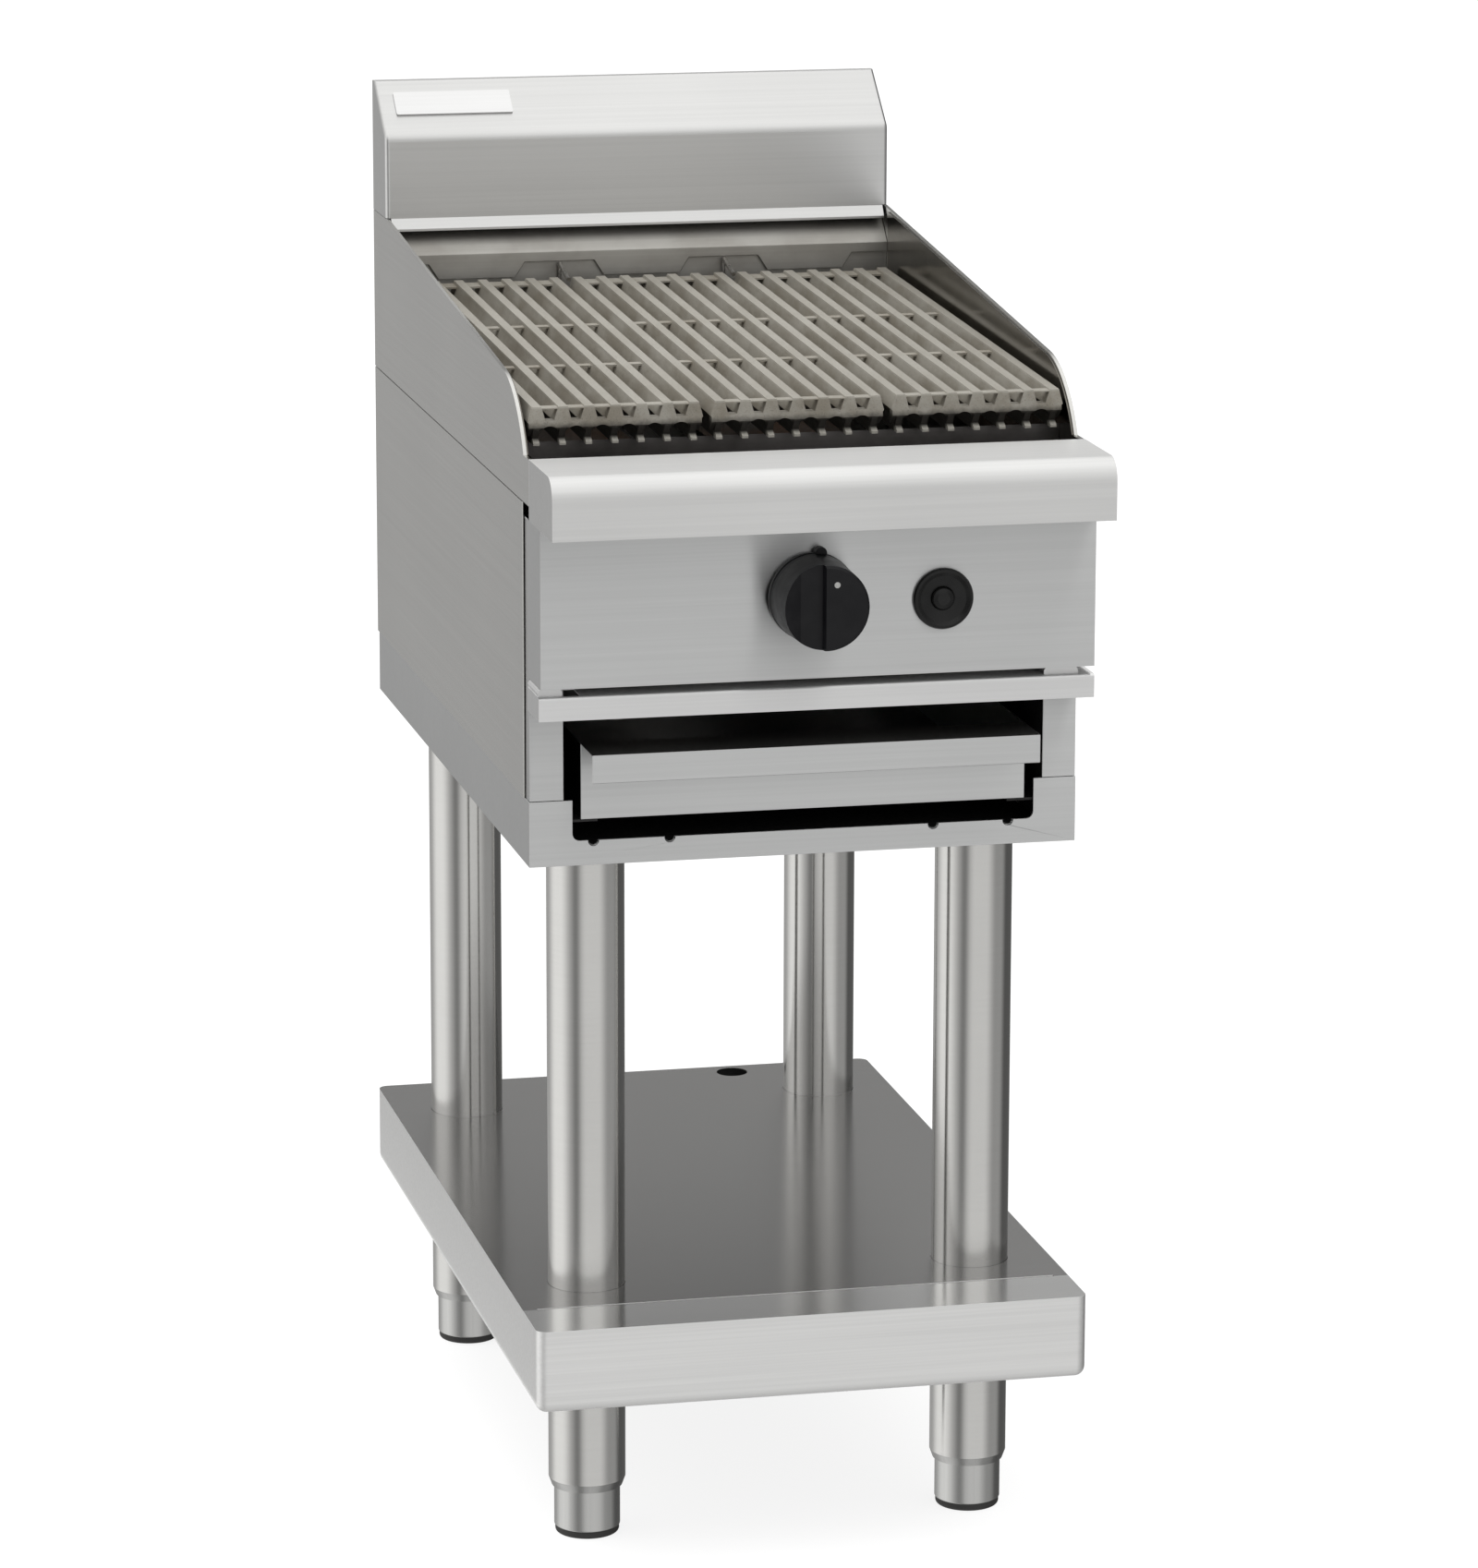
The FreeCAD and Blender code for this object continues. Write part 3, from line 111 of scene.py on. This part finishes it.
FOLDED_NODES = ("ledge_strip", "front_surround", "drip_tray", "base_frame",
                "nose", "flue_baffle", "badge_plate") + SIDE_NODES
FOLD_RADIUS = 0.0006
SHELF_FOLD_RADIUS = 0.003
FOLD_ANGLE = math.radians(35.0)
WELD_GAP = 0.00001

# the shelf's front band, painted lighter as a painted highlight, from its front edge back to the
# seam
SHELF_BAND_DEPTH = 0.060
SHELF_SEAM_BLUR = 0.001
# the grates' ridges rise towards the back
GRATE_TILT = math.radians(1.7)


# ---------------------------------------------------------------- node graphs
class Graph:
    """Small helper to write node trees in reading order."""

    def __init__(self, tree):
        self.tree = tree
        self.tree.nodes.clear()

    def add(self, kind, inputs=None, **props):
        node = self.tree.nodes.new(kind)
        for key, value in props.items():
            setattr(node, key, value)
        for key, value in (inputs or {}).items():
            self.feed(node, key, value)
        return node

    def feed(self, node, key, value):
        socket = node.inputs[key]
        if isinstance(value, bpy.types.NodeSocket):
            self.tree.links.new(value, socket)
        else:
            socket.default_value = value

    def math(self, operation, a, b=0.0, c=0.0):
        return self.add("ShaderNodeMath", {0: a, 1: b, 2: c}, operation=operation).outputs[0]

    def vector(self, operation, a, b=(0.0, 0.0, 0.0)):
        return self.add("ShaderNodeVectorMath", {0: a, 1: b}, operation=operation)

    def position(self):
        return self.add("ShaderNodeTexCoord").outputs["Object"]

    def normal(self):
        return self.add("ShaderNodeNewGeometry").outputs["Normal"]

    def split(self, vector):
        """X, Y and Z of a vector."""
        return self.add("ShaderNodeSeparateXYZ", {0: vector}).outputs

    def scaled(self, vector, scale):
        return self.vector("MULTIPLY", vector, scale).outputs[0]

    def noise(self, vector, scale=1.0, detail=2.0, rough=0.5):
        node = self.add("ShaderNodeTexNoise", {"Vector": vector, "Scale": scale, "Detail": detail,
                                               "Roughness": rough})
        return node.outputs["Fac"]

    def span(self, value, lo, hi, out_lo, out_hi, smooth=False):
        """Maps lo..hi to out_lo..out_hi, held at the ends."""
        node = self.add("ShaderNodeMapRange", {"Value": value, "From Min": lo, "From Max": hi,
                                               "To Min": out_lo, "To Max": out_hi})
        node.interpolation_type = "SMOOTHSTEP" if smooth else "LINEAR"
        return node.outputs[0]

    def mix(self, factor, a, b):
        node = self.add("ShaderNodeMix", data_type="RGBA")
        for socket, value in ((0, factor), (6, rgba(a)), (7, rgba(b))):
            self.feed(node, socket, value)
        return node.outputs[2]

    def facing_up(self):
        return self.split(self.normal())["Z"]

    def facing_inwards(self, vector, centre):
        """1 on faces that look towards the centre, else 0."""
        outwards = self.vector("SUBTRACT", vector, centre).outputs[0]
        along = self.vector("DOT_PRODUCT", self.normal(), outwards).outputs["Value"]
        return self.math("LESS_THAN", along, 0.0)

    def bump(self, height, strength, distance):
        node = self.add("ShaderNodeBump", {"Height": height, "Strength": strength,
                                           "Distance": distance})
        return node.outputs["Normal"]


def rgba(value):
    if isinstance(value, bpy.types.NodeSocket):
        return value
    return (*value, 1.0)


def shaded(color, factor):
    return tuple(min(1.0, c * factor) for c in color)


def new_material(name, metallic=0.0):
    material = bpy.data.materials.new(name)
    material.use_nodes = True
    graph = Graph(material.node_tree)
    shader = graph.add("ShaderNodeBsdfPrincipled", {"Metallic": metallic})
    output = graph.add("ShaderNodeOutputMaterial")
    graph.tree.links.new(shader.outputs[0], output.inputs["Surface"])
    return material, graph, shader


# ---------------------------------------------------------------- steel
def grain_noise(g, at, grain, cycles):
    """Noise drawn out along one axis, as brushing leaves it."""
    along, across = cycles
    return g.noise(g.scaled(at, tuple(along if axis == grain else across for axis in "XYZ")))


def across_grain(g, grain):
    """Surface direction at right angles to the grain, along which the gloss spreads."""
    axis = tuple(1.0 if a == grain else 0.0 for a in "XYZ")
    side = g.vector("CROSS_PRODUCT", g.normal(), axis).outputs[0]
    # keeps the direction defined where a face looks along the grain
    lean = (0.0, 0.03, 0.0) if grain == "Z" else (0.0, 0.0, 0.03)
    return g.vector("ADD", side, lean).outputs[0]


def brushed(name, color, rough, grain="X", anisotropy=0.88, streak=0.035, stain=0.0,
            stain_color=None, stain_flat_faces=False):
    """Brushed stainless sheet: fine streaks along the grain, cloudy smears and optional stains."""
    material, g, shader = new_material(name, metallic=1.0)
    at = g.position()
    fine = grain_noise(g, at, grain, FINE_GRAIN)
    broad = grain_noise(g, at, grain, BROAD_GRAIN)
    cloud = g.noise(at, 5.0)
    tone = g.math("ADD", g.span(fine, 0.25, 0.75, -streak, streak),
                  g.span(broad, 0.3, 0.7, -streak * 0.35, streak * 0.35))
    tone = g.math("ADD", tone, g.span(cloud, 0.3, 0.7, -0.02, 0.02, smooth=True))
    base = g.mix(g.span(tone, -0.3, 0.3, 0.0, 1.0), shaded(color, 0.72), shaded(color, 1.28))
    if stain and stain_flat_faces:
        base = g.mix(g.span(g.facing_up(), 0.3, 0.8, 0.0, stain), base, stain_color)
    elif stain:
        blotch = g.noise(g.scaled(at, (14.0, 14.0, 22.0)), detail=4.0, rough=0.62)
        base = g.mix(g.span(blotch, 0.35, 0.72, 0.0, stain, smooth=True), base, stain_color)
    g.feed(shader, "Base Color", base)
    g.feed(shader, "Roughness", rough)
    g.feed(shader, "Anisotropic", anisotropy)
    g.feed(shader, "Tangent", across_grain(g, grain))
    return material


def shelf_finish(name):
    """Brushed shelf: satin skirt, painted light on the skirt and on the band ahead of the seam,
    and painted shade inside.
    """
    low, high = (Vector(corner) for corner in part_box("undershelf"))
    seam_y = low.y + SHELF_BAND_DEPTH
    material, g, shader = new_material(name, metallic=1.0)
    at = g.position()
    fine = grain_noise(g, at, "X", FINE_GRAIN)
    skirt = g.span(g.facing_up(), 0.2, 0.9, 1.0, 0.0)
    band = g.span(g.split(at)["Y"], seam_y - SHELF_SEAM_BLUR, seam_y + SHELF_SEAM_BLUR, 1.0, 0.0)
    # painted light: the skirt and the front band take a lighter copy of the steel than the top
    base = g.mix(g.math("MAXIMUM", band, skirt), (0.48, 0.475, 0.47), (0.93, 0.93, 0.925))
    base = g.mix(g.span(fine, 0.3, 0.7, 0.0, 0.08), base, (0.25, 0.25, 0.25))
    # painted shade: faces looking into the shelf's hollow are painted near black
    base = g.mix(g.facing_inwards(at, (low + high) / 2), base, (0.03, 0.03, 0.03))
    g.feed(shader, "Base Color", base)
    g.feed(shader, "Roughness", g.span(skirt, 0.0, 1.0, 0.20, 0.65))
    g.feed(shader, "Anisotropic", 0.75)
    g.feed(shader, "Tangent", across_grain(g, "X"))
    return material


def polished_tube(name, color):
    """Tube polished round its girth: sharp across, drawn out along its length."""
    material, g, shader = new_material(name, metallic=1.0)
    at = g.position()
    rings = g.noise(g.scaled(at, (20.0, 20.0, 500.0)))
    cloud = g.noise(g.scaled(at, (20.0, 20.0, 5.0)), detail=3.0, rough=0.6)
    base = g.mix(cloud, shaded(color, 0.93), shaded(color, 1.05))
    base = g.mix(g.span(rings, 0.3, 0.7, 0.0, 0.12), base, shaded(color, 0.8))
    g.feed(shader, "Base Color", base)
    g.feed(shader, "Roughness", 0.17)
    g.feed(shader, "Anisotropic", 0.9)
    g.feed(shader, "Tangent", g.add("ShaderNodeCombineXYZ", {"Z": 1.0}).outputs[0])
    return material


def dark_sheet(name, color):
    """Unfinished inner sheet, sooted and greasy."""
    material, g, shader = new_material(name, metallic=0.35)
    at = g.position()
    cloud = g.noise(at, 11.0, 4.0, 0.6)
    speck = g.noise(at, 240.0)
    base = g.mix(g.span(cloud, 0.3, 0.7, 0.0, 0.5, smooth=True), color, shaded(color, 0.35))
    g.feed(shader, "Base Color", base)
    g.feed(shader, "Roughness", g.span(speck, 0.3, 0.7, 0.5, 0.7))
    g.feed(shader, "Normal", g.bump(speck, 0.15, 0.0003))
    return material


def plain_metal(name, color, rough, metallic=1.0):
    """Small turned or cast fittings with a faintly mottled skin."""
    material, g, shader = new_material(name, metallic)
    mottle = g.noise(g.position(), 300.0, 3.0, 0.55)
    base = g.mix(g.span(mottle, 0.3, 0.7, 0.0, 1.0), shaded(color, 0.85), color)
    g.feed(shader, "Base Color", base)
    g.feed(shader, "Roughness", g.span(mottle, 0.3, 0.7, rough - 0.05, rough + 0.05))
    g.feed(shader, "Normal", g.bump(mottle, 0.08, 0.0002))
    return material


# ---------------------------------------------------------------- cast iron
def grate_cast(name):
    """Cast grate: worn bright ridges, grey flanks with burnt patches, and soot with painted shade
    lower down.
    """
    low, high = (Vector(corner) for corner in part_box("grate_centre"))
    slope = math.tan(GRATE_TILT)
    front_ridge_z = high.z - slope * (high.y - low.y)
    material, g, shader = new_material(name, metallic=0.45)
    at = g.position()
    axes = g.split(at)
    run = g.math("SUBTRACT", axes["Y"], low.y)
    ridge_z = g.math("MULTIPLY_ADD", run, slope, front_ridge_z)
    below = g.math("SUBTRACT", ridge_z, axes["Z"])
    pits = g.noise(at, 900.0, 3.0, 0.6)
    lumps = g.noise(at, 160.0, 3.0, 0.6)
    patches = g.noise(g.scaled(at, (30.0, 12.0, 30.0)), detail=4.0, rough=0.65)
    base = g.mix(g.span(patches, 0.32, 0.68, 0.0, 1.0, smooth=True), (0.40, 0.38, 0.335),
                 (0.28, 0.255, 0.21))
    ragged_top = g.math("MULTIPLY_ADD", lumps, 0.0015, below)
    top = g.span(ragged_top, 0.0008, 0.0028, 1.0, 0.0, smooth=True)
    base = g.mix(g.math("MULTIPLY", top, 0.6), base, (0.46, 0.44, 0.39))
    # soot and painted shade: darker with depth below the ridge tops
    ragged_flank = g.math("MULTIPLY_ADD", lumps, 0.005, below)
    base = g.mix(g.span(ragged_flank, 0.014, 0.022, 0.0, 0.93, smooth=True), base, SOOT_AND_SHADE)
    # the ribs' lowest front ends are lighter
    toe = g.math("MULTIPLY", g.span(below, 0.026, 0.028, 0.0, 1.0),
                 g.span(run, 0.008, 0.013, 0.8, 0.0))
    base = g.mix(toe, base, (0.50, 0.48, 0.43))
    base = g.mix(g.span(pits, 0.56, 0.74, 0.0, 0.5), base, (0.06, 0.055, 0.045))
    g.feed(shader, "Base Color", base)
    g.feed(shader, "Roughness", g.span(top, 0.0, 1.0, 0.60, 0.42))
    height = g.math("MULTIPLY_ADD", pits, 0.5, lumps)
    g.feed(shader, "Normal", g.bump(height, 0.4, 0.0006))
    return material


def burner_cast(name):
    """Burners and radiants: dark pitted iron with rusty patches and a little wear on top."""
    iron = (0.10, 0.09, 0.08)
    material, g, shader = new_material(name, metallic=0.3)
    at = g.position()
    pits = g.noise(at, 900.0, 3.0, 0.6)
    lumps = g.noise(at, 180.0, 3.0, 0.6)
    patches = g.noise(g.scaled(at, (26.0, 14.0, 26.0)), detail=4.0, rough=0.65)
    base = g.mix(g.span(patches, 0.3, 0.7, 0.0, 1.0, smooth=True), iron, (0.13, 0.07, 0.04))
    top = g.span(g.facing_up(), 0.75, 0.98, 0.0, 0.2, smooth=True)
    wear = g.math("MULTIPLY", top, g.span(lumps, 0.30, 0.62, 0.35, 1.0))
    base = g.mix(wear, base, (0.13, 0.11, 0.09))
    base = g.mix(g.span(pits, 0.55, 0.75, 0.0, 0.45), base, shaded(iron, 0.3))
    g.feed(shader, "Base Color", base)
    g.feed(shader, "Roughness", g.span(wear, 0.0, 1.0, 0.62, 0.40))
    height = g.math("MULTIPLY_ADD", pits, 0.5, lumps)
    g.feed(shader, "Normal", g.bump(height, 0.5, 0.0006))
    return material


# ---------------------------------------------------------------- mouldings
def moulded_plastic(name, color, rough, dust, gloss):
    """Black moulding with a fine spark-eroded texture and a little dust."""
    material, g, shader = new_material(name)
    at = g.position()
    texture = g.noise(at, 1500.0)
    cloud = g.noise(at, 60.0, 3.0, 0.6)
    dusty = tuple(c + dust for c in color)
    base = g.mix(g.span(cloud, 0.35, 0.75, 0.0, 1.0, smooth=True), color, dusty)
    g.feed(shader, "Base Color", base)
    g.feed(shader, "Specular IOR Level", gloss)
    g.feed(shader, "Roughness", g.span(cloud, 0.3, 0.7, rough - 0.05, rough + 0.07))
    g.feed(shader, "Normal", g.bump(texture, 0.25, 0.00012))
    return material


def rubber(name):
    material, g, shader = new_material(name)
    crumb = g.noise(g.position(), 700.0, 3.0, 0.6)
    g.feed(shader, "Base Color", g.mix(crumb, (0.012, 0.012, 0.012), (0.035, 0.034, 0.032)))
    g.feed(shader, "Roughness", g.span(crumb, 0.3, 0.7, 0.55, 0.75))
    g.feed(shader, "Normal", g.bump(crumb, 0.3, 0.0002))
    return material


def make_materials():
    """Every finish by name: the record's material slots and the extra ones in OWN_FINISH."""
    finishes = {name: brushed(name, **finish) for name, finish in SHEETS.items()}
    finishes.update({
        "shelf_steel": shelf_finish("shelf_steel"),
        "leg_tube": polished_tube("leg_tube", (0.64, 0.635, 0.62)),
        "bay_steel": dark_sheet("bay_steel", (0.022, 0.021, 0.021)),
        "firebox_steel": dark_sheet("firebox_steel", (0.05, 0.045, 0.04)),
        "bolt_steel": plain_metal("bolt_steel", (0.55, 0.54, 0.52), 0.30),
        "gas_metal": plain_metal("gas_metal", (0.46, 0.45, 0.42), 0.42),
        "brass": plain_metal("brass", (0.72, 0.50, 0.22), 0.30),
        "marker_white": plain_metal("marker_white", (0.34, 0.34, 0.33), 0.5, metallic=0.0),
        "grate_iron": grate_cast("grate_iron"),
        "burner_iron": burner_cast("burner_iron"),
        "knob_plastic": moulded_plastic("knob_plastic", (0.003, 0.003, 0.004), 0.38,
                                        dust=0.003, gloss=0.22),
        "igniter_plastic": moulded_plastic("igniter_plastic", (0.004, 0.004, 0.004), 0.28,
                                           dust=0.004, gloss=0.3),
        "foot_rubber": rubber("foot_rubber"),
    })
    return finishes


def dress(frame, materials):
    """Gives every CAD node its own finish, or that of its slot in the record."""
    slots = {part["node"]: part["material_slot"] for part in frame["record"]["subparts"]}
    for name, node in frame["nodes"].items():
        node.data.materials.clear()
        node.data.materials.append(materials[OWN_FINISH.get(name, slots[name])])


def soften(node, width, segments=2):
    """Small real radius on a folded sheet's edges, so that they catch the light."""
    weld = node.modifiers.new("weld", "WELD")
    weld.merge_threshold = WELD_GAP
    bevel = node.modifiers.new("fold", "BEVEL")
    bevel.width = width
    bevel.segments = segments
    bevel.limit_method = "ANGLE"
    bevel.angle_limit = FOLD_ANGLE
    bevel.use_clamp_overlap = True
    normals = node.modifiers.new("normals", "WEIGHTED_NORMAL")
    normals.keep_sharp = False


# ---------------------------------------------------------------- stage
def horizon_level(g, azimuth):
    """Brightness round the horizon, with its soft boxes and flags."""
    level = HORIZON
    for centre, half_width, edge, strength in SOFT_BOXES:
        turned = g.math("SUBTRACT", azimuth, math.radians(centre))
        away = g.math("ABSOLUTE", g.math("WRAP", turned, math.pi, -math.pi))
        inner = math.radians(half_width - edge / 2)
        outer = math.radians(half_width + edge / 2)
        level = g.math("ADD", level, g.span(away, inner, outer, strength, 0.0, smooth=True))
    return level


def make_world():
    """Plain white for the camera; for light and reflections, a room with soft boxes and flags."""
    world = bpy.data.worlds.new("studio")
    bpy.context.scene.world = world
    world.use_nodes = True
    g = Graph(world.node_tree)
    x, y, z = g.split(g.add("ShaderNodeTexCoord").outputs["Generated"])
    azimuth = g.math("ARCTAN2", x, g.math("MULTIPLY", y, -1.0))
    level = horizon_level(g, azimuth)
    level = g.math("MULTIPLY", level, g.span(z, *NADIR_EDGE, NADIR, 1.0, smooth=True))
    ceiling = g.span(y, *CEILING_FRONT_TO_BACK, FRONT_CEILING, CEILING, smooth=True)
    rise = g.span(z, *CEILING_EDGE, 0.0, 1.0, smooth=True)
    kept = g.math("MULTIPLY", level, g.math("SUBTRACT", 1.0, rise))
    studio = g.math("ADD", kept, g.math("MULTIPLY", ceiling, rise))
    room = g.add("ShaderNodeBackground", {"Color": (1.0, 0.998, 0.99, 1.0), "Strength": studio})
    plain = g.add("ShaderNodeBackground", {"Color": (1.0, 1.0, 1.0, 1.0), "Strength": BACKDROP})
    seen = g.add("ShaderNodeLightPath").outputs["Is Camera Ray"]
    mixed = g.add("ShaderNodeMixShader", {0: seen, 1: room.outputs[0], 2: plain.outputs[0]})
    output = g.add("ShaderNodeOutputWorld")
    g.tree.links.new(mixed.outputs[0], output.inputs["Surface"])


def make_floor():
    """Pale round floor for the camera; reflections see the studio instead."""
    rim = []
    for step in range(FLOOR_SIDES):
        angle = 2 * math.pi * step / FLOOR_SIDES
        rim.append((FLOOR_RADIUS * math.cos(angle), FLOOR_RADIUS * math.sin(angle), 0.0))
    mesh = bpy.data.meshes.new("floor")
    mesh.from_pydata(rim, [], [list(range(FLOOR_SIDES))])
    floor = bpy.data.objects.new("floor", mesh)
    bpy.context.scene.collection.objects.link(floor)
    floor.visible_glossy = False
    material, g, shader = new_material("floor_paint")
    g.feed(shader, "Base Color", (FLOOR_GREY, FLOOR_GREY, FLOOR_GREY, 1.0))
    g.feed(shader, "Roughness", 0.9)
    g.feed(shader, "Specular IOR Level", 0.0)
    g.feed(shader, "Emission Color", (1.0, 1.0, 1.0, 1.0))
    g.feed(shader, "Emission Strength", FLOOR_GLOW)
    mesh.materials.append(material)


def make_lights():
    """One large overhead soft light, for the gentle shading of the matt parts."""
    data = bpy.data.lights.new("overhead", "AREA")
    data.shape = "RECTANGLE"
    data.size, data.size_y = OVERHEAD_SIZE
    data.energy = OVERHEAD_POWER
    light = bpy.data.objects.new("overhead", data)
    light.location = OVERHEAD_AT
    light.rotation_mode = "QUATERNION"
    light.rotation_quaternion = (OVERHEAD_AIM - OVERHEAD_AT).to_track_quat("-Z", "Y")
    light.visible_glossy = False
    bpy.context.scene.collection.objects.link(light)


def make_camera():
    forward = Vector((math.sin(YAW) * math.cos(PITCH), math.cos(YAW) * math.cos(PITCH),
                      -math.sin(PITCH)))
    level_right = Vector((math.cos(YAW), -math.sin(YAW), 0.0))
    level_up = level_right.cross(forward)
    right = math.cos(ROLL) * level_right + math.sin(ROLL) * level_up
    up = math.cos(ROLL) * level_up - math.sin(ROLL) * level_right
    rows = Matrix((right, up, -forward)).transposed()
    data = bpy.data.cameras.new("camera")
    data.sensor_width = LONG_SIDE_SENSOR
    data.lens = LENS
    data.clip_start = 0.1
    data.clip_end = 200.0
    camera = bpy.data.objects.new("camera", data)
    camera.matrix_world = Matrix.Translation(CAMERA_AT) @ rows.to_4x4()
    bpy.context.scene.collection.objects.link(camera)
    bpy.context.scene.camera = camera


# ---------------------------------------------------------------- build
def main():
    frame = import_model()
    make_camera()
    make_world()
    make_floor()
    make_lights()
    dress(frame, make_materials())
    for name in FOLDED_NODES:
        soften(frame["nodes"][name], FOLD_RADIUS)
    soften(frame["nodes"]["undershelf"], SHELF_FOLD_RADIUS, segments=3)
    bpy.context.scene.view_settings.view_transform = "Standard"


main()
